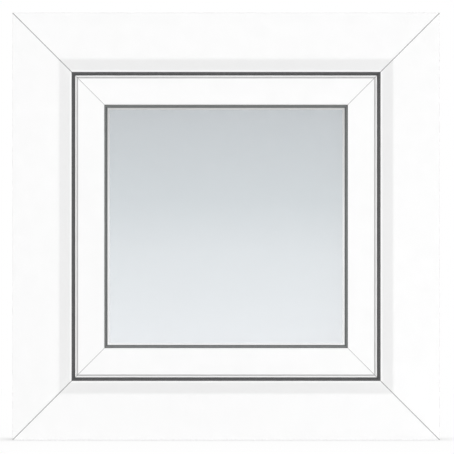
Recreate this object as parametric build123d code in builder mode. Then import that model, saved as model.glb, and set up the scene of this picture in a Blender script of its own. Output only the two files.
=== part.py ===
# A square white PVC window: a welded outer frame that holds one inward-opening sash, closed, with
# its double-glazed unit, glazing beads, gaskets, steel reinforcement, handle and hinges.
#
# Millimetres, +Z up. The outside of the window faces -Y and the inside faces +Y. The origin is the
# middle of the frame's underside. Left and right are as seen from the outside.
#
# Every bar is an extrusion with one section, and each section is drawn in the same two
# coordinates: x is the depth, from outside (negative) to inside (positive), and y is the distance
# inwards from the outer edge of the frame.
import os

from build123d import *

# Window
window_width = 550
window_height = 550

# Walls of the extruded profiles
outer_wall = 2.8
web_wall = 1.5
bead_wall = 1.6

# Frame profile
frame_depth = 70
frame_face = 76
bevel_width = 14.6
bevel_depth = 6.6
nose_width = 2.2
stop_height = 22
stop_thickness = 10.5
channel_width = 10
channel_depth = 4
channel_slope = 3
foot_height = 4
edge_foot_width = 6
centre_foot_width = 16
foot_undercut = 1.2
frame_edge_radius = 0.4
frame_inner_radius = 2
bevel_top_radius = 10
bevel_foot_radius = 2
nose_radius = 0.8
frame_steel_chamber_height = 30
frame_back_chamber_width = 6.1

# Sash profile
sash_setback = 14
sash_height = 72
hardware_gap = 12
flange_overlap = 8
flange_gap = 3.5
flange_thickness = 10.5
flange_radius = 3
shoulder_width = 18
shoulder_drop = 2.4
shoulder_bevel = 1.8
glazing_rebate = 20
leg_thickness = 12
leg_radius = 0.3
groove_axis = 13
groove_mouth_width = 16
groove_mouth_depth = 2.5
groove_width = 12
groove_depth = 11
bead_slot_width = 3.5
bead_slot_depth = 5
bead_slot_from_face = 9
bead_slot_lip = 1.8
bead_slot_undercut = 1

# Glazing
pane_thickness = 4
cavity = 16
glazing_gap = 5
seal_height = 4
spacer_height = 7
spacer_shoulder = 2.5
spacer_wall = 0.8
block_length = 80
block_from_corner = 60

# Glazing beads
bead_inset = 2
bead_face_height = 5
bead_top_width = 3.5
bead_slope_radius = 45
bead_edge_radius = 0.8
bead_foot_clearance = 0.3

# Gasket feet, and the grooves that they sit in
foot_neck_width = 1.6
foot_neck_depth = 0.9
foot_head_width = 3
foot_tip_width = 1.8
foot_depth = 2.2

# Gasket between the frame's stop and the sash
stop_gasket_visible = 4.4
stop_gasket_bulge = 6
stop_gasket_contact = 9
stop_gasket_heel = 3.5
stop_gasket_hollow_radius = 1.1
stop_gasket_hollow_from_tip = 1.5
stop_foot_from_tip = 6.5

# Gaskets on both sides of the glass
glazing_gasket_width = 3
glazing_gasket_visible = 5.7
glazing_gasket_tail = 7
glazing_bulb_height = 2.6
glazing_bulb_width = 1.2
glazing_bulb_radius = 2
glazing_lip_radius = 6
glazing_foot_from_tip = 4.5
bead_gasket_width = 3
bead_gasket_visible = 2
bead_gasket_tail = 6
bead_gasket_radius = 3.5

# Gasket between the sash's flange and the frame
overlap_gasket_height = 7
overlap_gasket_radius = 2.2
overlap_foot_from_edge = 4

# Steel reinforcement
steel_wall = 1.5
steel_clearance = 0.3
steel_end_clearance = 8

# Cleaned welds at the corners
weld_groove_width = 1.2
weld_groove_depth = 0.4

# Fixing holes
fixing_radius = 3.1
fixing_from_corner = 150

# Faceplate of the locking gear, in the mouth of the sash's groove
faceplate_thickness = 2.5
faceplate_clearance = 0.1

# Handle
rose_width = 30
rose_height = 66
rose_thickness = 10.5
rose_corner_radius = 8
rose_bevel = 1.8
collar_radius = 11
collar_thickness = 3
collar_bevel = 1
lever_reach = 44
lever_length = 112
lever_thickness = 11
lever_neck_width = 15
lever_end_width = 22
lever_end_thickness = 9
lever_bend_radius = 14
lever_bevel = 2.2
lever_end_bevel = 1.5

# Hinges
hinge_radius = 6.5
hinge_height = 58
hinge_gap = 1
hinge_from_corner = 52
hinge_axis_from_flange = 7.5
hinge_axis_height = 13
hinge_barrel_edge = 0.8
hinge_plate_margin = 3
hinge_leaf_thickness = 3
hinge_leaf_radius = 2.5
hinge_frame_leaf_width = 14
hinge_sash_leaf_width = 20

# Planes and lines that several pieces share, by depth
frame_outside = -frame_depth / 2
frame_inside = frame_depth / 2
nose_outside = frame_outside + bevel_depth
stop_back = frame_outside + stop_thickness
sash_outside = frame_outside + sash_setback
shoulder_outside = sash_outside + shoulder_drop
leg_back = sash_outside + leg_thickness
flange_back = frame_inside + flange_gap
sash_inside = flange_back + flange_thickness
glass_outside = leg_back + glazing_gasket_width
cavity_outside = glass_outside + pane_thickness
cavity_inside = cavity_outside + cavity
glass_inside = cavity_inside + pane_thickness
bead_outside = glass_inside + bead_gasket_width
bead_inside = sash_inside - bead_inset
bead_slot_middle = bead_inside - bead_slot_from_face
hinge_axis_depth = frame_inside + hinge_axis_height

# Lines that several pieces share, by distance inwards from the frame's outer edge
frame_flat_top = frame_face - nose_width - bevel_width
rebate_floor = frame_face - stop_height
channel_floor = rebate_floor - channel_depth
sash_base = rebate_floor + hardware_gap
flange_edge = rebate_floor - flange_overlap
sightline = flange_edge + sash_height
shoulder_line = sash_base + shoulder_width
glass_floor = sightline - glazing_rebate
glass_edge = glass_floor + glazing_gap
spacer_base = glass_edge + seal_height
spacer_top = spacer_base + spacer_height
stop_foot_middle = frame_face - stop_foot_from_tip
glazing_foot_middle = sightline - glazing_foot_from_tip
overlap_foot_middle = flange_edge + overlap_foot_from_edge

# Chambers of the frame: one at the front, one under the channel, the steel's and two at the back
frame_front_web = stop_back - outer_wall
frame_steel_web = stop_back + channel_width
frame_steel_left = frame_steel_web + web_wall
frame_last_web = frame_inside - outer_wall - frame_back_chamber_width - web_wall
frame_back_web = frame_last_web - frame_back_chamber_width - web_wall
frame_steel_floor = foot_height + outer_wall
frame_steel_shelf = frame_steel_floor + frame_steel_chamber_height

# Chambers of the sash: the leg's, the steel's, the one over the groove and the flange's
sash_leg_web = leg_back - outer_wall
sash_steel_left = sash_leg_web + web_wall
sash_groove_middle = flange_back - groove_axis
sash_steel_web = sash_groove_middle - groove_mouth_width / 2 - outer_wall
sash_groove_wall = sash_groove_middle - groove_width / 2 - outer_wall
sash_groove_web = sash_groove_middle + groove_width / 2 + outer_wall - web_wall
sash_steel_floor = sash_base + outer_wall
sash_steel_shelf = glass_floor - outer_wall

# The middle of each outer edge of the frame: x runs along the edge and z points inwards
edges = {
    "bottom": Plane((0, 0, 0), x_dir=(1, 0, 0), z_dir=(0, 0, 1)),
    "top": Plane((0, 0, window_height), x_dir=(-1, 0, 0), z_dir=(0, 0, -1)),
    "left": Plane((-window_width / 2, 0, window_height / 2), x_dir=(0, 0, -1), z_dir=(1, 0, 0)),
    "right": Plane((window_width / 2, 0, window_height / 2), x_dir=(0, 0, 1), z_dir=(-1, 0, 0)),
}
lengths = {
    "bottom": window_width,
    "top": window_width,
    "left": window_height,
    "right": window_height,
}


def section_plane(side):
    edge = edges[side]
    return Plane(edge.origin, x_dir=edge.y_dir, z_dir=edge.x_dir)


def mitre_plane(side, end):
    edge = edges[side]
    corner = edge.origin + edge.x_dir * (end * lengths[side] / 2)
    return Plane(corner, z_dir=edge.x_dir * -end - edge.z_dir)


def weld_slice(skin, side, end):
    """The last bit of a section along one edge of the window, next to its 45-degree cut."""
    cut = mitre_plane(side, end)
    with BuildPart() as piece:
        with BuildSketch(section_plane(side)):
            add(skin)
        extrude(amount=lengths[side] / 2, both=True)
        split(bisect_by=cut, keep=Keep.TOP)
        split(bisect_by=cut.offset(weld_groove_width / 2), keep=Keep.BOTTOM)
    return piece.part


def mitred_bar(section, side, skins=()):
    """One bar of a ring: the section along one edge of the window, cut at 45 degrees at both ends.

    Next to each cut the skins are taken off, which leaves the shallow groove of a cleaned weld.
    """
    with BuildPart() as bar:
        with BuildSketch(section_plane(side)):
            add(section)
        extrude(amount=lengths[side] / 2, both=True)
        for end in (-1, 1):
            split(bisect_by=mitre_plane(side, end), keep=Keep.TOP)
        for end in (-1, 1):
            for skin in skins:
                add(weld_slice(skin, side, end), mode=Mode.SUBTRACT)
    return bar.part


def ring(section):
    """A one-piece ring round the window, with its four mitred lengths joined at the corners."""
    bars = [mitred_bar(section, side) for side in edges]
    with BuildPart() as loop:
        for bar in bars:
            add(bar)
    return loop.part


def save(piece, name):
    piece.label = name
    export_step(piece, f"parts/{name}.step")


# Pieces of sections


def block(x1, y1, x2, y2, mode=Mode.ADD):
    """A rectangle of a section, from one corner to the other."""
    with Locations(((x1 + x2) / 2, (y1 + y2) / 2)):
        Rectangle(x2 - x1, y2 - y1, mode=mode)


def outline(*points):
    with BuildSketch() as shape:
        with BuildLine():
            Polyline(*points, close=True)
        make_face()
    return shape.sketch


def rounded(section, corner, radius):
    """Rounds the corner of a section that stands at that point."""
    fillet(section.vertices().sort_by_distance(corner)[0], radius)


def gasket_foot(face, middle, inwards):
    """The barbed foot of a gasket in a wall's face, which is also the groove that holds it."""
    neck = foot_neck_width / 2
    head = foot_head_width / 2
    tip = foot_tip_width / 2
    barb = face + inwards * foot_neck_depth
    end = face + inwards * foot_depth
    return outline(
        (face, middle - neck),
        (barb, middle - neck),
        (barb, middle - head),
        (end, middle - tip),
        (end, middle + tip),
        (barb, middle + head),
        (barb, middle + neck),
        (face, middle + neck),
    )


def groove_wall(face, middle, inwards):
    """The thickened wall behind the groove of a gasket's foot."""
    back = face + inwards * (foot_depth + web_wall)
    half = foot_head_width / 2 + web_wall
    block(min(face, back), middle - half, max(face, back), middle + half, mode=Mode.SUBTRACT)


def weld_skin(section, left, right, inwards):
    """The skin of a section between two depths, on its faces that look away from the inwards way."""
    with BuildSketch() as solid:
        make_face(section.face().outer_wire().edges())
    with BuildSketch() as skin:
        add(solid.sketch)
        with Locations((inwards * weld_groove_depth, 0)):
            add(solid.sketch, mode=Mode.SUBTRACT)
        block(left, 0, right, sightline, mode=Mode.INTERSECT)
    return skin.sketch


# Frame


def foot(left, right, left_undercut, right_undercut):
    """One of the ribs under the frame, with sides that hook over what slides between them."""
    return outline(
        (left, 0),
        (right, 0),
        (right - right_undercut, foot_height),
        (left + left_undercut, foot_height),
    )


def frame_section():
    shell = outline(
        (frame_outside, foot_height),
        (frame_outside, frame_flat_top),
        (nose_outside, frame_flat_top + bevel_width),
        (nose_outside, frame_face),
        (stop_back, frame_face),
        (stop_back, channel_floor),
        (frame_steel_web, channel_floor),
        (frame_steel_web + channel_slope, rebate_floor),
        (frame_inside, rebate_floor),
        (frame_inside, foot_height),
    )
    with BuildSketch() as chambers:
        offset(shell, amount=-outer_wall, kind=Kind.INTERSECTION)
        for web in (frame_front_web, frame_steel_web, frame_back_web, frame_last_web):
            block(web, 0, web + web_wall, frame_face, mode=Mode.SUBTRACT)
        block(
            frame_steel_web,
            frame_steel_shelf,
            frame_back_web,
            frame_steel_shelf + web_wall,
            mode=Mode.SUBTRACT,
        )
        groove_wall(stop_back, stop_foot_middle, -1)
    with BuildSketch() as section:
        add(shell)
        rounded(section, (frame_outside, frame_flat_top), bevel_top_radius)
        rounded(section, (nose_outside, frame_flat_top + bevel_width), bevel_foot_radius)
        rounded(section, (nose_outside, frame_face), nose_radius)
        rounded(section, (frame_inside, rebate_floor), frame_inner_radius)
        add(foot(frame_outside, frame_outside + edge_foot_width, 0, foot_undercut))
        add(foot(-centre_foot_width / 2, centre_foot_width / 2, foot_undercut, foot_undercut))
        add(foot(frame_inside - edge_foot_width, frame_inside, foot_undercut, 0))
        rounded(section, (frame_outside, 0), frame_edge_radius)
        rounded(section, (frame_inside, 0), frame_edge_radius)
        add(chambers.sketch, mode=Mode.SUBTRACT)
        add(gasket_foot(stop_back, stop_foot_middle, -1), mode=Mode.SUBTRACT)
    return section.sketch


# Sash


def bead_slot(clearance):
    """The slot for the glazing bead's foot, or with a clearance the foot itself."""
    left = bead_slot_middle - bead_slot_width / 2 + clearance
    right = bead_slot_middle + bead_slot_width / 2 - clearance
    lip = glass_floor - bead_slot_lip - clearance
    bottom = glass_floor - bead_slot_depth + clearance
    return outline(
        (left, glass_floor),
        (left, lip),
        (left - bead_slot_undercut, lip),
        (left, bottom),
        (right, bottom),
        (right, glass_floor),
    )


def sash_section():
    mouth = groove_mouth_width / 2
    throat = groove_width / 2
    shell = outline(
        (shoulder_outside, sash_base),
        (shoulder_outside, shoulder_line - shoulder_bevel),
        (sash_outside, shoulder_line),
        (sash_outside, sightline),
        (leg_back, sightline),
        (leg_back, glass_floor),
        (sash_inside, glass_floor),
        (sash_inside, flange_edge),
        (flange_back, flange_edge),
        (flange_back, sash_base),
        (sash_groove_middle + mouth, sash_base),
        (sash_groove_middle + mouth, sash_base + groove_mouth_depth),
        (sash_groove_middle + throat, sash_base + groove_mouth_depth),
        (sash_groove_middle + throat, sash_base + groove_depth),
        (sash_groove_middle - throat, sash_base + groove_depth),
        (sash_groove_middle - throat, sash_base + groove_mouth_depth),
        (sash_groove_middle - mouth, sash_base + groove_mouth_depth),
        (sash_groove_middle - mouth, sash_base),
    )
    with BuildSketch() as chambers:
        offset(shell, amount=-outer_wall, kind=Kind.INTERSECTION)
        for left, right in (
            (sash_leg_web, sash_leg_web + web_wall),
            (sash_steel_web, sash_groove_wall),
            (sash_groove_web, sash_groove_web + web_wall),
        ):
            block(left, 0, right, sightline, mode=Mode.SUBTRACT)
        block(
            sash_groove_web,
            glass_floor - bead_slot_depth - web_wall,
            bead_slot_middle + bead_slot_width / 2 + web_wall,
            glass_floor,
            mode=Mode.SUBTRACT,
        )
        groove_wall(leg_back, glazing_foot_middle, -1)
        groove_wall(flange_back, overlap_foot_middle, 1)
    with BuildSketch() as section:
        add(shell)
        rounded(section, (sash_outside, sightline), leg_radius)
        rounded(section, (sash_inside, flange_edge), flange_radius)
        add(chambers.sketch, mode=Mode.SUBTRACT)
        add(bead_slot(0), mode=Mode.SUBTRACT)
        add(gasket_foot(leg_back, glazing_foot_middle, -1), mode=Mode.SUBTRACT)
        add(gasket_foot(flange_back, overlap_foot_middle, 1), mode=Mode.SUBTRACT)
    return section.sketch


def bead_section():
    top = (bead_outside + bead_top_width, sightline)
    edge = (bead_inside, glass_floor + bead_face_height)
    with BuildSketch() as shell:
        with BuildLine():
            Polyline(
                edge,
                (bead_inside, glass_floor),
                (bead_outside, glass_floor),
                (bead_outside, sightline),
                top,
            )
            RadiusArc(top, edge, bead_slope_radius)
        make_face()
    with BuildSketch() as section:
        add(shell.sketch)
        rounded(section, top, bead_edge_radius)
        rounded(section, edge, bead_edge_radius)
        offset(shell.sketch, amount=-bead_wall, kind=Kind.INTERSECTION, mode=Mode.SUBTRACT)
        add(bead_slot(bead_foot_clearance))
    return section.sketch


# Gaskets


def stop_gasket_section():
    """The lip on the frame's stop: its bulging face shows, and its back rests on the sash."""
    tip = (stop_back, frame_face)
    touch = (shoulder_outside, frame_face + stop_gasket_visible)
    low_touch = (shoulder_outside, frame_face + stop_gasket_visible - stop_gasket_contact)
    heel = (stop_back, stop_foot_middle - stop_gasket_heel)
    with BuildSketch() as section:
        with BuildLine():
            RadiusArc(tip, touch, stop_gasket_bulge)
            Polyline(touch, low_touch, heel, tip)
        make_face()
        add(gasket_foot(stop_back, stop_foot_middle, -1))
        with Locations(((stop_back + shoulder_outside) / 2, frame_face - stop_gasket_hollow_from_tip)):
            Circle(stop_gasket_hollow_radius, mode=Mode.SUBTRACT)
    return section.sketch


def glazing_gasket_section():
    """The strip on the outside of the glass: a round bulb next to the sash and a lip on the glass."""
    seat = (leg_back, sightline)
    valley = (leg_back + glazing_bulb_width, sightline + glazing_bulb_height)
    tip = (glass_outside, sightline + glazing_gasket_visible)
    tail = sightline - glazing_gasket_tail
    with BuildSketch() as section:
        with BuildLine():
            RadiusArc(seat, valley, glazing_bulb_radius)
            RadiusArc(valley, tip, glazing_lip_radius)
            Polyline(tip, (glass_outside, tail), (leg_back, tail), seat)
        make_face()
        add(gasket_foot(leg_back, glazing_foot_middle, -1))
    return section.sketch


def bead_gasket_section():
    """The strip between the glazing bead and the inner pane."""
    seat = (bead_outside, sightline)
    tip = (glass_inside, sightline + bead_gasket_visible)
    tail = sightline - bead_gasket_tail
    with BuildSketch() as section:
        with BuildLine():
            RadiusArc(tip, seat, bead_gasket_radius)
            Polyline(seat, (bead_outside, tail), (glass_inside, tail), tip)
        make_face()
    return section.sketch


def overlap_gasket_section():
    """The strip on the back of the sash's flange, which presses on the inside face of the frame."""
    with BuildSketch() as section:
        block(frame_inside, flange_edge, flange_back, flange_edge + overlap_gasket_height)
        rounded(section, (frame_inside, flange_edge), overlap_gasket_radius)
        add(gasket_foot(flange_back, overlap_foot_middle, 1))
    return section.sketch


# Glazing


def pane(outside):
    width = window_width - 2 * glass_edge
    height = window_height - 2 * glass_edge
    with BuildPart() as glass:
        with BuildSketch(Plane((0, outside, window_height / 2), x_dir=(1, 0, 0), z_dir=(0, -1, 0))):
            Rectangle(width, height)
        extrude(amount=-pane_thickness)
    return glass.part


def spacer_outline():
    return outline(
        (cavity_outside, spacer_top),
        (cavity_outside, spacer_base + spacer_shoulder),
        (cavity_outside + spacer_shoulder, spacer_base),
        (cavity_inside - spacer_shoulder, spacer_base),
        (cavity_inside, spacer_base + spacer_shoulder),
        (cavity_inside, spacer_top),
    )


def spacer_section():
    with BuildSketch() as section:
        add(spacer_outline())
        offset(spacer_outline(), amount=-spacer_wall, kind=Kind.INTERSECTION, mode=Mode.SUBTRACT)
    return section.sketch


def seal_section():
    with BuildSketch() as section:
        block(cavity_outside, glass_edge, cavity_inside, spacer_base + spacer_shoulder)
        add(spacer_outline(), mode=Mode.SUBTRACT)
    return section.sketch


def glazing_blocks():
    """The pads that hold the glass unit in the rebate, two along each edge."""
    with BuildPart() as blocks:
        for side in edges:
            middle = lengths[side] / 2 - glass_edge - block_from_corner - block_length / 2
            for along in (-middle, middle):
                with BuildSketch(section_plane(side).offset(along)):
                    block(glass_outside, glass_floor, glass_inside, glass_edge)
                extrude(amount=block_length / 2, both=True)
    return blocks.part


# Locking gear


def faceplate_section():
    """The strip that closes the sash's hardware groove and rests on its two ledges."""
    half = groove_mouth_width / 2 - faceplate_clearance
    ledge = sash_base + groove_mouth_depth
    with BuildSketch() as section:
        block(
            sash_groove_middle - half,
            ledge - faceplate_thickness,
            sash_groove_middle + half,
            ledge,
        )
    return section.sketch


# Steel reinforcement


def steel_bar(side, width, height, depth, base, opening):
    """A channel in the steel chamber of one bar, cut square short of the welded corners."""
    length = lengths[side] - 2 * (base + height + steel_end_clearance)
    with BuildSketch() as section:
        Rectangle(width, height)
        fillet(section.vertices().sort_by_distance((0, -opening * height))[:2], steel_wall)
        with Locations((0, opening * steel_wall)):
            Rectangle(width - 2 * steel_wall, height, mode=Mode.SUBTRACT)
    with BuildPart() as bar:
        with BuildSketch(section_plane(side)):
            with Locations((depth, base + height / 2)):
                add(section.sketch)
        extrude(amount=length / 2, both=True)
    return bar.part


def reinforcement(left, floor, right, shelf, opening):
    """The four channels in the steel chambers of a ring, which have these walls.

    Their open sides face outwards from the window's middle at -1, and inwards at 1.
    """
    width = right - left - 2 * steel_clearance
    height = shelf - floor - 2 * steel_clearance
    base = floor + steel_clearance
    bars = [steel_bar(side, width, height, (left + right) / 2, base, opening) for side in edges]
    with BuildPart() as steel:
        for bar in bars:
            add(bar)
    return steel.part


# Fixing holes


def drilled(piece, side):
    """A frame part with the fixing holes of its jamb."""
    edge = edges[side]
    along = lengths[side] / 2 - fixing_from_corner
    with BuildPart() as bored:
        add(piece)
        with Locations(Plane(edge.origin, x_dir=edge.x_dir, z_dir=edge.z_dir * -1)):
            with Locations((-along, 0), (along, 0)):
                Hole(fixing_radius, depth=rebate_floor)
    return bored.part


# Handle

handle_x = window_width / 2 - (flange_edge + glass_floor) / 2
handle_plane = Plane((handle_x, sash_inside, window_height / 2), x_dir=(-1, 0, 0), z_dir=(0, 1, 0))
lever_start = rose_thickness + collar_thickness


def handle_rose():
    """The cover plate, and the collar that the lever turns in."""
    with BuildPart() as rose:
        with BuildSketch(handle_plane):
            RectangleRounded(rose_width, rose_height, rose_corner_radius)
        extrude(amount=rose_thickness)
        chamfer(rose.faces().sort_by(Axis.Y)[-1].edges(), rose_bevel)
        with BuildSketch(handle_plane.offset(rose_thickness)):
            Circle(collar_radius)
        extrude(amount=collar_thickness)
        chamfer(rose.faces().sort_by(Axis.Y)[-1].edges(), collar_bevel)
    return rose.part


def lever_section(width, thickness):
    """A section of the lever, with its bevelled corners."""
    with BuildSketch() as section:
        Rectangle(width, thickness)
        chamfer(section.vertices(), lever_bevel)
    return section.sketch


def handle_lever():
    """The neck bends down out of the collar, and the grip widens and thins towards its end."""
    root = handle_plane.offset(lever_start)
    grip_top = lever_bend_radius
    grip_plane = Plane(
        root.origin + Vector(0, lever_reach - lever_start, -grip_top),
        x_dir=(-1, 0, 0),
        z_dir=(0, 0, -1),
    )
    with BuildPart() as lever:
        with BuildLine(Plane(root.origin, x_dir=(0, 1, 0), z_dir=(1, 0, 0))):
            straight = Line((0, 0), (lever_reach - lever_start - lever_bend_radius, 0))
            RadiusArc(straight @ 1, (lever_reach - lever_start, -grip_top), lever_bend_radius)
        with BuildSketch(root):
            add(lever_section(lever_neck_width, lever_thickness))
        sweep()
        with BuildSketch(grip_plane):
            add(lever_section(lever_neck_width, lever_thickness))
        with BuildSketch(grip_plane.offset(lever_length - grip_top)):
            add(lever_section(lever_end_width, lever_end_thickness))
        loft(ruled=True)
        chamfer(lever.faces().sort_by(Axis.Z)[0].edges(), lever_end_bevel)
    return lever.part


# Hinges

hinge_x = flange_edge - hinge_axis_from_flange - window_width / 2
barrel_height = (hinge_height - hinge_gap) / 2


def barrel(base, back, end):
    """Half of a hinge's barrel, with the web that joins it to the plane it is fixed on.

    The end that faces away from the other half is bevelled: 0 is the lower end and -1 the upper.
    """
    with BuildPart() as half:
        with BuildSketch(Plane.XY.offset(base)):
            block(hinge_x - hinge_radius, back, hinge_x + hinge_radius, hinge_axis_depth)
            with Locations((hinge_x, hinge_axis_depth)):
                Circle(hinge_radius)
        extrude(amount=barrel_height)
        chamfer(half.faces().sort_by(Axis.Z)[end].edges(), hinge_barrel_edge)
    return half.part


def leaf(left, right, bottom, top, back):
    """A hinge's flat plate with rounded corners, on a plane at that depth."""
    middle = ((left + right) / 2, back, (bottom + top) / 2)
    with BuildPart() as plate:
        with BuildSketch(Plane(middle, x_dir=(1, 0, 0), z_dir=(0, 1, 0))):
            RectangleRounded(right - left, top - bottom, hinge_leaf_radius)
        extrude(amount=hinge_leaf_thickness)
    return plate.part


def hinge_frame_part(base):
    """The half on the frame: a plate on its inside face, and the lower half of the barrel."""
    with BuildPart() as half:
        add(barrel(base, frame_inside, 0))
        add(
            leaf(
                hinge_x - hinge_frame_leaf_width,
                hinge_x + hinge_radius,
                base - hinge_plate_margin,
                base + hinge_height + hinge_plate_margin,
                frame_inside,
            )
        )
    return half.part


def hinge_sash_part(base):
    """The half on the sash: a leaf on its inside face, and the upper half of the barrel."""
    upper = base + barrel_height + hinge_gap
    flange = flange_edge - window_width / 2
    with BuildPart() as half:
        add(barrel(upper, hinge_axis_depth, -1))
        add(leaf(hinge_x, flange + hinge_sash_leaf_width, upper, upper + barrel_height, sash_inside))
    return half.part


os.makedirs("parts", exist_ok=True)

frame_profile = frame_section()
frame_skins = (
    weld_skin(frame_profile, frame_outside, nose_outside + weld_groove_depth, 1),
    weld_skin(frame_profile, frame_inside - weld_groove_depth, frame_inside, -1),
)
sash_profile = sash_section()
sash_skins = (
    weld_skin(sash_profile, sash_outside, sash_outside + weld_groove_depth, 1),
    weld_skin(sash_profile, sash_inside - weld_groove_depth, sash_inside, -1),
)
bead_profile = bead_section()

for side in edges:
    frame_bar = mitred_bar(frame_profile, side, frame_skins)
    if side in ("left", "right"):
        frame_bar = drilled(frame_bar, side)
    save(frame_bar, f"frame_{side}")
    save(mitred_bar(sash_profile, side, sash_skins), f"sash_{side}")
    save(mitred_bar(bead_profile, side), f"glazing_bead_{side}")

save(ring(stop_gasket_section()), "frame_gasket")
save(ring(overlap_gasket_section()), "sash_gasket")
save(ring(glazing_gasket_section()), "outer_glazing_gasket")
save(ring(bead_gasket_section()), "inner_glazing_gasket")
save(pane(glass_outside), "outer_pane")
save(pane(cavity_inside), "inner_pane")
save(ring(spacer_section()), "spacer_bar")
save(ring(seal_section()), "edge_seal")
save(glazing_blocks(), "glazing_blocks")
save(ring(faceplate_section()), "locking_faceplate")

frame_steel = reinforcement(
    frame_steel_left,
    frame_steel_floor,
    frame_back_web,
    frame_steel_shelf,
    -1,
)
for side in ("left", "right"):
    frame_steel = drilled(frame_steel, side)
save(frame_steel, "frame_reinforcement")
sash_steel = reinforcement(
    sash_steel_left,
    sash_steel_floor,
    sash_steel_web,
    sash_steel_shelf,
    1,
)
save(sash_steel, "sash_reinforcement")

save(handle_rose(), "handle_rose")
save(handle_lever(), "handle_lever")
upper_hinge_base = window_height - hinge_from_corner - hinge_height
for name, base in (("lower", hinge_from_corner), ("upper", upper_hinge_base)):
    save(hinge_frame_part(base), f"{name}_hinge_frame_part")
    save(hinge_sash_part(base), f"{name}_hinge_sash_part")
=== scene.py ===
"""A square white PVC window, seen from outside. Metres, +Z up, its outside faces -Y."""

import math

import bmesh
import bpy
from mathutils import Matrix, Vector

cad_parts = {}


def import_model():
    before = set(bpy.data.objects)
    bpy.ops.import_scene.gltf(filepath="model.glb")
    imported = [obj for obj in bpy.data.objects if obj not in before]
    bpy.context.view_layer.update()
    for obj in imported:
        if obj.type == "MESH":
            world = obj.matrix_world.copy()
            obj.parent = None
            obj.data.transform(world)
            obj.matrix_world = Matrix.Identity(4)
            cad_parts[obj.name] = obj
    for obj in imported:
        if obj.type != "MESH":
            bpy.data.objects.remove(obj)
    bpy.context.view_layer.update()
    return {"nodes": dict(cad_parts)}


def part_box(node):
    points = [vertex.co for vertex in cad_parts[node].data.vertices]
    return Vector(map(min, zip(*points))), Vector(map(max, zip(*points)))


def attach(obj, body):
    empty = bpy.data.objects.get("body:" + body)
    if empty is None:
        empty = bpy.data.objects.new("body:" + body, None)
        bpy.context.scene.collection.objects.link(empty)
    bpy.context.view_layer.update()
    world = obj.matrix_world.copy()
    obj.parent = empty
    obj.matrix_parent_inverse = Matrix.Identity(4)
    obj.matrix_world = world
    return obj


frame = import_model()

# Nodes that share a material
SIDES = ("bottom", "top", "left", "right")
FRAME_BARS = [f"frame_{side}" for side in SIDES]
SASH_BARS = [f"sash_{side}" for side in SIDES]
BEADS = [f"glazing_bead_{side}" for side in SIDES]
HINGE_PLACES = ("lower", "upper")
HINGES = [f"{place}_hinge_{half}_part" for place in HINGE_PLACES for half in ("frame", "sash")]

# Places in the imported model
window_lo, window_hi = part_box("frame_bottom")[0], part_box("frame_top")[1]
WINDOW_WIDTH = window_hi.x - window_lo.x
CENTRE_Z = (window_lo.z + window_hi.z) / 2
CAVITY_Y = (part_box("spacer_bar")[0].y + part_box("spacer_bar")[1].y) / 2
# The edge of the glass, and the small step on the sash, both from the window's middle
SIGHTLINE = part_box("sash_right")[0].x
SASH_FACE = 0.034
STEP_LINE = SIGHTLINE + SASH_FACE

# Most of a noise texture lies between these values
NOISE_LOW, NOISE_HIGH = 0.3, 0.7
# The height of a bump texture's relief, unless a finish gives its own
GRAIN_DEPTH = 0.0002
# The sockets of a Mix node that carry colours
MIX_SHARE, MIX_FIRST, MIX_SECOND, MIX_RESULT = 0, 6, 7, 2


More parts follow.
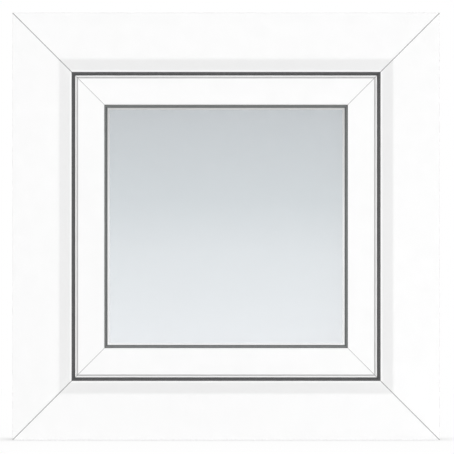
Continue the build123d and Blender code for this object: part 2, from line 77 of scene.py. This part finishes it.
class Graph:
    """A material's node tree, with short calls for the nodes used here."""

    def __init__(self, name):
        self.material = bpy.data.materials.new(name)
        self.material.use_nodes = True
        self.tree = self.material.node_tree
        self.tree.nodes.clear()
        self.output = self.add("ShaderNodeOutputMaterial")
        self.place = self.add("ShaderNodeTexCoord").outputs["Object"]

    def add(self, kind, **settings):
        node = self.tree.nodes.new(kind)
        for key, value in settings.items():
            setattr(node, key, value)
        return node

    def plug(self, socket, value):
        """Link a socket to this one, or set this one to a constant."""
        if isinstance(value, bpy.types.NodeSocket):
            self.tree.links.new(value, socket)
        else:
            socket.default_value = value

    def math(self, operation, *values):
        node = self.add("ShaderNodeMath", operation=operation)
        for socket, value in zip(node.inputs, values):
            self.plug(socket, value)
        return node.outputs[0]

    def axes(self):
        node = self.add("ShaderNodeSeparateXYZ")
        self.plug(node.inputs[0], self.place)
        return node.outputs

    def ring(self):
        """A point's place on a square ring: outwards from the middle, along the bar, in depth."""
        x, y, z = self.axes()
        across = self.math("ABSOLUTE", x)
        height = self.math("ABSOLUTE", self.math("SUBTRACT", z, CENTRE_Z))
        return self.math("MAXIMUM", across, height), self.math("MINIMUM", across, height), y

    def vector(self, *parts):
        node = self.add("ShaderNodeCombineXYZ")
        for socket, part in zip(node.inputs, parts):
            self.plug(socket, part)
        return node.outputs[0]

    def noise(self, scale, detail=3.0, place=None):
        node = self.add("ShaderNodeTexNoise")
        self.plug(node.inputs["Vector"], place or self.place)
        node.inputs["Scale"].default_value = scale
        node.inputs["Detail"].default_value = detail
        return node.outputs["Fac"]

    def streaks(self, outwards, along, depth, fine, coarse, detail=3.0):
        """Noise that is fine across each bar and coarse along it."""
        place = self.vector(
            self.math("MULTIPLY", outwards, fine),
            self.math("MULTIPLY", depth, fine),
            self.math("MULTIPLY", along, coarse),
        )
        return self.noise(1.0, detail, place)

    def between(self, value, old_low, old_high, new_low, new_high, smooth=False):
        """Map a range of values to another range, and hold the ends."""
        node = self.add("ShaderNodeMapRange")
        node.interpolation_type = "SMOOTHSTEP" if smooth else "LINEAR"
        for socket, item in zip(node.inputs, (value, old_low, old_high, new_low, new_high)):
            self.plug(socket, item)
        return node.outputs[0]

    def uneven(self, scale, low, high):
        """A value that wanders between these two."""
        return self.between(self.noise(scale), NOISE_LOW, NOISE_HIGH, low, high)

    def distance(self, first, second):
        """The length of two lengths at right angles."""
        squares = self.math("ADD", self.math("POWER", first, 2.0), self.math("POWER", second, 2.0))
        return self.math("SQRT", squares)

    def mix(self, share, first, second, blend_type="MIX"):
        node = self.add("ShaderNodeMix", data_type="RGBA", blend_type=blend_type)
        self.plug(node.inputs[MIX_SHARE], share)
        self.plug(node.inputs[MIX_FIRST], first)
        self.plug(node.inputs[MIX_SECOND], second)
        return node.outputs[MIX_RESULT]

    def ramp(self, value, *stops):
        node = self.add("ShaderNodeValToRGB")
        self.plug(node.inputs[0], value)
        points = node.color_ramp.elements
        while len(points) < len(stops):
            points.new(0.5)
        for point, (position, colour) in zip(points, stops):
            point.position = position
            point.color = colour
        return node.outputs[0]

    def bump(self, height, strength, distance=GRAIN_DEPTH, normal=None):
        node = self.add("ShaderNodeBump")
        self.plug(node.inputs["Height"], height)
        node.inputs["Strength"].default_value = strength
        node.inputs["Distance"].default_value = distance
        if normal is not None:
            self.plug(node.inputs["Normal"], normal)
        return node.outputs[0]

    def principled(self, **inputs):
        """Finish the material: Base_Color and the like are the shader's sockets."""
        node = self.add("ShaderNodeBsdfPrincipled")
        for key, value in inputs.items():
            self.plug(node.inputs[key.replace("_", " ")], value)
        self.plug(self.output.inputs["Surface"], node.outputs[0])
        return self.material


def grey(level):
    return (level, level, level, 1.0)


# Finishes

CLOUD_DEPTH = 0.008
SEAM_BLUR = 0.0002
SEAM_ROUGHNESS = 0.7
# Painted shade on the sash's small step, where it lies in shade, from STEP_FROM, 0, to STEP_TO, 1
STEP_FROM, STEP_TO = STEP_LINE - 0.001, STEP_LINE + 0.004
STEP_SHADE_TONES = ((0.1, grey(1.0)), (0.2, grey(0.83)), (0.55, grey(0.83)), (0.6, grey(0.92)))


def pvc(name, white, seam_grey, seam_width, step=False):
    """White extruded PVC: soft sheen, faint die lines along the bar, greyer seams at its mitres,
    and, with step, painted shade on the sash's small step.
    """
    g = Graph(name)
    outwards, along, depth = g.ring()
    # Half the seam's width, measured along the bar
    reach = seam_width * math.sqrt(0.5)
    off_seam = g.math("SUBTRACT", outwards, along)
    seam = g.between(off_seam, reach - SEAM_BLUR, reach + SEAM_BLUR, 1.0, 0.0, smooth=True)
    clouds = g.noise(scale=9.0, detail=4.0)
    colour = g.ramp(clouds, (NOISE_LOW, grey(white - CLOUD_DEPTH)), (NOISE_HIGH, grey(white)))
    if step:
        # Painted shade: the step and the strip beside it are darkened where they lie in shade
        shade = g.ramp(g.between(outwards, STEP_FROM, STEP_TO, 0.0, 1.0), *STEP_SHADE_TONES)
        colour = g.mix(1.0, colour, shade, blend_type="MULTIPLY")
    colour = g.mix(seam, colour, grey(seam_grey))
    gloss = g.uneven(scale=60.0, low=0.455, high=0.505)
    gloss = g.math("MAXIMUM", gloss, g.math("MULTIPLY", seam, SEAM_ROUGHNESS))
    die_lines = g.streaks(outwards, along, depth, fine=700.0, coarse=0.4, detail=2.0)
    drawn = g.bump(die_lines, strength=0.035)
    grain = g.bump(g.noise(scale=900.0, detail=2.0), strength=0.08, normal=drawn)
    return g.principled(Base_Color=colour, Roughness=gloss, Normal=grain)


# Where the worn patches of rubber end
WEAR_HIGH = 0.75
RUBBER_SPREAD = 0.06


def rubbery(g, colour, roughness):
    """A dull moulded skin over this colour."""
    low, high = roughness - RUBBER_SPREAD, roughness + RUBBER_SPREAD
    gloss = g.uneven(scale=120.0, low=low, high=high)
    skin = g.bump(g.noise(scale=1800.0, detail=2.0), strength=0.25)
    return g.principled(Base_Color=colour, Roughness=gloss, Normal=skin)


def rubber(name, dark, pale, roughness):
    g = Graph(name)
    wear = g.noise(scale=300.0, detail=5.0)
    return rubbery(g, g.ramp(wear, (NOISE_LOW, dark), (WEAR_HIGH, pale)), roughness)


# What shows of the outer glazing gasket, and the lip within that which carries a painted highlight
GASKET_VISIBLE = 0.0057
LIP_WIDTH = 0.0016
# Shares of the gasket's visible width, from the sash, 0, to the glass, 1
LIP_FROM = 1.0 - LIP_WIDTH / GASKET_VISIBLE
LIP_BLUR = 0.02
# Painted shade and highlight at such shares: shade in a groove, highlight on a ridge, shade in a
# groove, highlight on a ridge
GASKET_SHADE_AND_HIGHLIGHT_TONES = (
    (0.12, grey(0.05)),
    (0.2, (0.2, 0.215, 0.21, 1)),
    (0.36, (0.19, 0.205, 0.2, 1)),
    (0.44, grey(0.06)),
    (0.58, grey(0.08)),
    (0.66, (0.26, 0.275, 0.27, 1)),
    (LIP_FROM - 0.03, (0.3, 0.32, 0.315, 1)),
)
# Painted highlight on the lip by height, from the foot of the glass, 0, to its top, 1, with painted
# shade darkening it towards the top
LIP_HIGHLIGHT_TONES = ((0.5, grey(0.95)), (1.0, grey(0.62)))
WORN_TONE = grey(0.3)
WORN_SHARE = 0.12


def painted_lip_highlight(g):
    """The painted highlight of the light line round the glass, with painted shade that darkens it
    towards the top.
    """
    rise = g.between(g.axes()[2], CENTRE_Z - SIGHTLINE, CENTRE_Z + SIGHTLINE, 0.0, 1.0)
    return g.ramp(rise, *LIP_HIGHLIGHT_TONES)


def lipped_rubber(name, roughness):
    """The outer glazing gasket: grey rubber with painted shade in its grooves, painted highlights
    on its ridges, and a painted highlight on its lip at the glass.
    """
    g = Graph(name)
    outwards = g.ring()[0]
    inwards = g.between(outwards, SIGHTLINE, SIGHTLINE - GASKET_VISIBLE, 0.0, 1.0)
    wear = g.noise(scale=300.0, detail=5.0)
    worn = g.between(wear, NOISE_LOW, WEAR_HIGH, 0.0, WORN_SHARE)
    # Painted shade in the grooves and painted highlight on the ridges, with real wear over them
    colour = g.mix(worn, g.ramp(inwards, *GASKET_SHADE_AND_HIGHLIGHT_TONES), WORN_TONE)
    # Painted highlight: the gasket's lip at the glass takes the light line's tone
    lip_highlight_mask = g.between(inwards, LIP_FROM - LIP_BLUR, LIP_FROM + LIP_BLUR, 0.0, 1.0)
    return rubbery(g, g.mix(lip_highlight_mask, colour, painted_lip_highlight(g)), roughness)


LACQUER_SPREAD = 0.015


def lacquer(name, level):
    """White powder coat: even, half glossy, with a fine orange peel."""
    g = Graph(name)
    dark, pale = grey(level - LACQUER_SPREAD), grey(level)
    colour = g.ramp(g.noise(scale=25.0), (NOISE_LOW, dark), (NOISE_HIGH, pale))
    gloss = g.uneven(scale=40.0, low=0.27, high=0.33)
    peel = g.bump(g.noise(scale=700.0, detail=1.0), strength=0.12)
    return g.principled(Base_Color=colour, Roughness=gloss, Normal=peel)


ZINC_ROUGHNESS = (0.35, 0.5)
ZINC_GRAINS = 8


def zinc(name, dark, bright, scale):
    """Galvanised steel: crystals of zinc that each catch the light a little differently."""
    g = Graph(name)
    crystal = g.add("ShaderNodeTexVoronoi")
    g.plug(crystal.inputs["Vector"], g.place)
    crystal.inputs["Scale"].default_value = scale
    share = g.add("ShaderNodeSeparateColor")
    g.plug(share.inputs[0], crystal.outputs["Color"])
    colour = g.ramp(share.outputs[0], (0.0, dark), (1.0, bright))
    gloss = g.between(share.outputs[1], 0.0, 1.0, *ZINC_ROUGHNESS)
    grain = g.bump(g.noise(scale * ZINC_GRAINS), strength=0.1)
    return g.principled(Base_Color=colour, Roughness=gloss, Metallic=1.0, Normal=grain)


# The spacer's pinholes: their pitch along a row, each row's place from the middle, and their size
HOLE_PITCH = 0.004
HOLE_ROWS = 0.0035
HOLE_RADIUS = 0.0004
HOLE_FLOOR = 0.7
HOLE_DEPTH = 0.0003
# Painted shade that darkens the inside of each pinhole
HOLE_SHADE_TONE = grey(0.05)
DRAWN_DEPTH = 0.0001
DRAWN_ROUGHNESS = (0.3, 0.42)
ALUMINIUM = ((NOISE_LOW, (0.68, 0.69, 0.7, 1)), (NOISE_HIGH, (0.76, 0.77, 0.78, 1)))


def spacer(name):
    """Drawn aluminium with two rows of pinholes along each bar, towards the cavity, their insides
    darkened with painted shade.
    """
    g = Graph(name)
    outwards, along, depth = g.ring()
    step = g.math("SUBTRACT", g.math("FRACT", g.math("DIVIDE", along, HOLE_PITCH)), 0.5)
    off_hole = g.math("MULTIPLY", step, HOLE_PITCH)
    off_middle = g.math("ABSOLUTE", g.math("SUBTRACT", depth, CAVITY_Y))
    away = g.distance(off_hole, g.math("SUBTRACT", off_middle, HOLE_ROWS))
    hole = g.between(away, HOLE_RADIUS * HOLE_FLOOR, HOLE_RADIUS, 1.0, 0.0, smooth=True)
    drawn = g.streaks(outwards, along, depth, fine=2500.0, coarse=20.0)
    colour = g.mix(hole, g.ramp(drawn, *ALUMINIUM), HOLE_SHADE_TONE)
    lines = g.bump(drawn, strength=0.1, distance=DRAWN_DEPTH)
    metal = g.math("SUBTRACT", 1.0, hole)
    sunk = g.bump(metal, strength=0.6, distance=HOLE_DEPTH, normal=lines)
    gloss = g.between(drawn, NOISE_LOW, NOISE_HIGH, *DRAWN_ROUGHNESS)
    return g.principled(Base_Color=colour, Roughness=gloss, Metallic=1.0, Normal=sunk)


# The painted highlight line that the lip's reflection lays on the glass
RIM_HIGHLIGHT = 0.0007
RIM_BLUR = 0.0001
# Painted reflection of a pale sky on the outer pane, from its foot, 0, to its top, 1, darker
# towards the top
SKY_REFLECTION_TONES = (
    (0.05, (0.84, 0.87, 0.9, 1)),
    (0.4, (0.73, 0.77, 0.8, 1)),
    (0.6, (0.6, 0.65, 0.68, 1)),
    (0.95, (0.48, 0.52, 0.55, 1)),
)
CLEAR_TONES = ((0.0, (0.8, 0.87, 0.88, 1)), (1.0, (0.78, 0.84, 0.86, 1)))
pane_lo, pane_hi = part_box("outer_pane")


def glass(name, tones, alpha, rim_highlight=False):
    """Glass whose colour changes with height: on the outer pane a painted reflection of a pale sky,
    with a painted highlight line at the lip; on the inner pane a faint tint, a little darker
    towards the top.
    """
    g = Graph(name)
    colour = g.ramp(g.between(g.axes()[2], pane_lo.z, pane_hi.z, 0.0, 1.0), *tones)
    if rim_highlight:
        # Painted reflection of the gasket's lip: a light line on the outer pane beside it
        line_from = SIGHTLINE - GASKET_VISIBLE - RIM_HIGHLIGHT
        rim_highlight_mask = g.between(g.ring()[0], line_from - RIM_BLUR, line_from, 0.0, 1.0)
        colour = g.mix(rim_highlight_mask, colour, painted_lip_highlight(g))
    return g.principled(Base_Color=colour, Roughness=0.03, Alpha=alpha, IOR=1.5)


# Materials on the nodes

DARK_RUBBER = ((0.062, 0.062, 0.064, 1), (0.09, 0.09, 0.092, 1))
GREY_RUBBER = ((0.15, 0.162, 0.158, 1), (0.2, 0.214, 0.21, 1))
BLACK_SEALANT = ((0.01, 0.01, 0.01, 1), (0.02, 0.02, 0.02, 1))
BLUE_PLASTIC = ((0.05, 0.11, 0.3, 1), (0.06, 0.13, 0.34, 1))
STRIP_ZINC = ((0.5, 0.52, 0.55, 1), (0.62, 0.64, 0.67, 1))
SCREW_ZINC = ((0.6, 0.61, 0.63, 1), (0.7, 0.71, 0.73, 1))
STEEL_NODES = ["frame_reinforcement", "sash_reinforcement", "locking_faceplate"]


def dress(names, material):
    """Give every slot of these nodes one material."""
    for name in names:
        for slot in frame["nodes"][name].material_slots:
            slot.material = material


dress(FRAME_BARS, pvc("frame_white_pvc", white=0.87, seam_grey=0.3, seam_width=0.001))
dress(SASH_BARS, pvc("sash_white_pvc", white=0.865, seam_grey=0.4, seam_width=0.0007, step=True))
dress(BEADS, pvc("bead_white_pvc", white=0.87, seam_grey=0.3, seam_width=0.001))
dress(["frame_gasket", "sash_gasket"], rubber("dark_gasket", *DARK_RUBBER, roughness=0.55))
dress(["inner_glazing_gasket"], rubber("grey_gasket", *GREY_RUBBER, roughness=0.5))
dress(["outer_glazing_gasket"], lipped_rubber("lipped_gasket", roughness=0.5))
# The outer pane's colour is a painted reflection of a pale sky
dress(["outer_pane"], glass("sky_reflection_glass", SKY_REFLECTION_TONES, alpha=0.5, rim_highlight=True))
dress(["inner_pane"], glass("clear_glass", CLEAR_TONES, alpha=0.08))
dress(["spacer_bar"], spacer("spacer_aluminium"))
dress(STEEL_NODES, zinc("zinc_coat", *STRIP_ZINC, scale=120.0))
dress(["edge_seal"], rubber("black_sealant", *BLACK_SEALANT, roughness=0.5))
dress(["glazing_blocks"], rubber("packer_plastic", *BLUE_PLASTIC, roughness=0.4))
dress(["handle_rose", "handle_lever"] + HINGES, lacquer("white_lacquer", level=0.88))


# Hinge screws

SCREW_RADIUS = 0.0026
SCREW_DOME = 0.0013
SCREW_SINK = 0.0002
SCREW_STEPS = 40
# The dome's profile, in degrees from the head's plane, from its top to its rim
DOME_ANGLES = (90, 78, 64, 50, 38, 26, 14, 5)
RECESS_ARM = 0.0014
RECESS_HALF_WIDTH = 0.00032
RECESS_TAPER = 0.6
RECESS_TOP = SCREW_DOME * 2
RECESS_FLOOR = SCREW_DOME * 0.35
EDGE_BEVEL = 0.00006
EDGE_ANGLE = math.radians(40)
SMOOTH_ANGLE = math.radians(35)
# The hinge's leaf, and where its screws are from its sides and ends
LEAF_THICKNESS = 0.003
FRAME_LEAF_INSET = 0.00375
SASH_LEAF_INSET = 0.008
END_INSET = 0.007
# How far each screw was turned, in degrees
SCREW_TURNS = (12, 47, 80, 25, 66)


def turned(profile, steps):
    """A mesh turned about Y from (radius, height) points; the first and last lie on the axis."""
    shape = bmesh.new()
    rings = []
    for radius, height in profile:
        turns = steps if radius > 0 else 1
        angles = [2 * math.pi * k / steps for k in range(turns)]
        points = [(radius * math.cos(a), height, radius * math.sin(a)) for a in angles]
        rings.append([shape.verts.new(point) for point in points])
    for inner, outer in zip(rings, rings[1:]):
        for k in range(steps):
            near, far = k, k + 1
            corners = [
                inner[near % len(inner)],
                inner[far % len(inner)],
                outer[far % len(outer)],
                outer[near % len(outer)],
            ]
            # A point on the axis is the same corner twice
            shape.faces.new(list(dict.fromkeys(corners)))
    bmesh.ops.recalc_face_normals(shape, faces=shape.faces)
    return shape


def cross(arm, half_width, top, bottom, taper):
    """A cross-shaped plug along Y that narrows towards its bottom."""
    a, w = arm, half_width
    quarter = [(w, a), (w, w), (a, w)]
    outline = []
    for _ in range(4):
        outline += quarter
        quarter = [(z, -x) for x, z in quarter]
    shape = bmesh.new()
    upper = [shape.verts.new((x, top, z)) for x, z in outline]
    lower = [shape.verts.new((x * taper, bottom, z * taper)) for x, z in outline]
    shape.faces.new(upper)
    shape.faces.new(lower[::-1])
    for k in range(len(outline)):
        following = (k + 1) % len(outline)
        shape.faces.new([upper[k], lower[k], lower[following], upper[following]])
    bmesh.ops.recalc_face_normals(shape, faces=shape.faces)
    return shape


def as_object(name, shape):
    mesh = bpy.data.meshes.new(name)
    shape.to_mesh(mesh)
    shape.free()
    piece = bpy.data.objects.new(name, mesh)
    bpy.context.collection.objects.link(piece)
    return piece


def screw_mesh(material):
    """A pan-head screw with a cross recess; its head faces +Y."""
    dome = [
        (SCREW_RADIUS * math.cos(a), SCREW_SINK + SCREW_DOME * math.sin(a))
        for a in map(math.radians, DOME_ANGLES)
    ]
    profile = [(0.0, dome[0][1])] + dome[1:] + [(SCREW_RADIUS, 0.0), (0.0, 0.0)]
    head = as_object("screw_head", turned(profile, SCREW_STEPS))
    recess = cross(RECESS_ARM, RECESS_HALF_WIDTH, RECESS_TOP, RECESS_FLOOR, RECESS_TAPER)
    plug = as_object("screw_plug", recess)
    cut = head.modifiers.new("recess", "BOOLEAN")
    cut.object = plug
    cut.solver = "EXACT"
    bevel = head.modifiers.new("edge", "BEVEL")
    bevel.width = EDGE_BEVEL
    bevel.segments = 2
    bevel.angle_limit = EDGE_ANGLE
    evaluated = head.evaluated_get(bpy.context.evaluated_depsgraph_get())
    mesh = bpy.data.meshes.new_from_object(evaluated)
    for piece in (head, plug):
        bpy.data.objects.remove(piece)
    for face in mesh.polygons:
        face.use_smooth = True
    mesh.set_sharp_from_angle(angle=SMOOTH_ANGLE)
    mesh.materials.append(material)
    return mesh


def hinge_screws():
    """Three screws in each hinge leaf on the frame and two in each on the sash."""
    mesh = screw_mesh(zinc("screw_zinc", *SCREW_ZINC, scale=900.0))
    sash_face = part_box("sash_left")[1].y + LEAF_THICKNESS
    for place in HINGE_PLACES:
        lo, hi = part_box(f"{place}_hinge_frame_part")
        heights = (lo.z + END_INSET, (lo.z + hi.z) / 2, hi.z - END_INSET)
        spots = [(lo.x + FRAME_LEAF_INSET, lo.y + LEAF_THICKNESS, z) for z in heights]
        lo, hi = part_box(f"{place}_hinge_sash_part")
        heights = (lo.z + END_INSET, hi.z - END_INSET)
        spots += [(hi.x - SASH_LEAF_INSET, sash_face, z) for z in heights]
        for number, (spot, turn) in enumerate(zip(spots, SCREW_TURNS), start=1):
            screw = bpy.data.objects.new(f"{place}_hinge_screw_{number}", mesh)
            screw.location = Vector(spot) - Vector((0, SCREW_SINK, 0))
            screw.rotation_euler = (0, math.radians(turn), 0)
            bpy.context.collection.objects.link(screw)
            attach(screw, "root")


hinge_screws()


# Studio

FLOOR_RADIUS = 6.0
FLOOR_STEPS = 96
FLOOR_TONE = grey(0.6)
# How much of the shaded floor shows at the window's foot, and how fast that fades, per metre
CONTACT_SHADE, CONTACT_FADE = 0.3, 50.0
AROUND_SHADE, AROUND_FADE = 0.03, 3.3
WORLD_LEVEL = 0.28
# Each lamp's name, place, width and height, and power in watts. The front lamps stand aside, so
# that the glass doesn't mirror them into the camera.
LAMPS = (
    ("front_left", (-1.9, -9.0, 0.6), (2.2, 0.7), 304.0),
    ("front_right", (1.9, -9.0, 0.6), (2.2, 0.7), 304.0),
    ("back", (1.7, 2.3, 1.9), (0.9, 0.9), 62.0),
    ("side_left", (-4.0, 1.5, 1.2), (1.5, 1.5), 36.0),
    ("side_right", (4.0, 1.5, 1.2), (1.5, 1.5), 36.0),
)
# The photo's side, the window's width in it and the window's middle, in pixels
PHOTO_SIDE = 454
WINDOW_IN_PHOTO = 427.3
PHOTO_MIDDLE = (226.08, 226.42)
CAMERA_DISTANCE = 8.0
CAMERA_SENSOR = 36.0
CAMERA_REACH = 100.0


def seen_directly(tree):
    """1 for rays from the camera, reflections and glass, and 0 for those that only light."""
    rays = tree.nodes.new("ShaderNodeLightPath").outputs
    seen = rays["Is Camera Ray"]
    for kind in ("Is Glossy Ray", "Is Transmission Ray"):
        either = tree.nodes.new("ShaderNodeMath")
        either.operation = "MAXIMUM"
        tree.links.new(seen, either.inputs[0])
        tree.links.new(rays[kind], either.inputs[1])
        seen = either.outputs[0]
    return seen


def outside(g, coordinate, reach):
    """How far a point is past the window's footprint, along one axis."""
    return g.math("MAXIMUM", g.math("SUBTRACT", g.math("ABSOLUTE", coordinate), reach), 0.0)


def fading(g, away, share, rate):
    """This share at the footprint, and less further away."""
    return g.math("MULTIPLY", g.math("EXPONENT", g.math("MULTIPLY", away, -rate)), share)


def floor():
    """A pale floor that keeps the window's shadow near it and is plain white further off."""
    bpy.ops.mesh.primitive_circle_add(vertices=FLOOR_STEPS, radius=FLOOR_RADIUS, fill_type="NGON")
    ground = bpy.context.object
    ground.name = "floor"
    g = Graph("pale_floor")
    shaded = g.add("ShaderNodeBsdfDiffuse")
    shaded.inputs["Color"].default_value = FLOOR_TONE
    white = g.add("ShaderNodeEmission")
    x, y = g.axes()[:2]
    away = g.distance(outside(g, x, WINDOW_WIDTH / 2), outside(g, y, -window_lo.y))
    contact = fading(g, away, CONTACT_SHADE, CONTACT_FADE)
    around = fading(g, away, AROUND_SHADE, AROUND_FADE)
    far = g.math("SUBTRACT", 1.0, g.math("ADD", contact, around))
    mix = g.add("ShaderNodeMixShader")
    g.plug(mix.inputs[0], g.math("MULTIPLY", seen_directly(g.tree), far))
    g.plug(mix.inputs[1], shaded.outputs[0])
    g.plug(mix.inputs[2], white.outputs[0])
    g.plug(g.output.inputs["Surface"], mix.outputs[0])
    ground.data.materials.append(g.material)


def world():
    """Even light, and plain white where the camera, a reflection or glass shows it."""
    sky = bpy.data.worlds.new("studio")
    bpy.context.scene.world = sky
    sky.use_nodes = True
    tree = sky.node_tree
    background = tree.nodes["Background"]
    background.inputs["Color"].default_value = grey(1.0)
    strength = tree.nodes.new("ShaderNodeMapRange")
    strength.inputs["To Min"].default_value = WORLD_LEVEL
    strength.inputs["To Max"].default_value = 1.0
    tree.links.new(seen_directly(tree), strength.inputs["Value"])
    tree.links.new(strength.outputs[0], background.inputs["Strength"])


def softbox(name, place, size, power):
    """A rectangular lamp that faces the window's middle."""
    light = bpy.data.lights.new(name, "AREA")
    light.shape = "RECTANGLE"
    light.size, light.size_y = size
    light.energy = power
    lamp = bpy.data.objects.new(name, light)
    lamp.location = place
    facing = Vector((0, 0, CENTRE_Z)) - Vector(place)
    lamp.rotation_euler = facing.to_track_quat("-Z", "Y").to_euler()
    bpy.context.collection.objects.link(lamp)


def camera():
    """Square on to the outside of the window, from far off with a long lens."""
    pixel = WINDOW_WIDTH / WINDOW_IN_PHOTO
    data = bpy.data.cameras.new("camera")
    data.sensor_width = CAMERA_SENSOR
    data.lens = CAMERA_SENSOR * CAMERA_DISTANCE / (PHOTO_SIDE * pixel)
    data.clip_end = CAMERA_REACH
    cam = bpy.data.objects.new("camera", data)
    aside, below = [(PHOTO_SIDE / 2 - middle) * pixel for middle in PHOTO_MIDDLE]
    cam.location = (aside, window_lo.y - CAMERA_DISTANCE, CENTRE_Z - below)
    cam.rotation_euler = (math.radians(90), 0, 0)
    bpy.context.collection.objects.link(cam)
    bpy.context.scene.camera = cam


floor()
world()
for lamp in LAMPS:
    softbox(*lamp)
camera()
bpy.context.scene.view_settings.view_transform = "Standard"
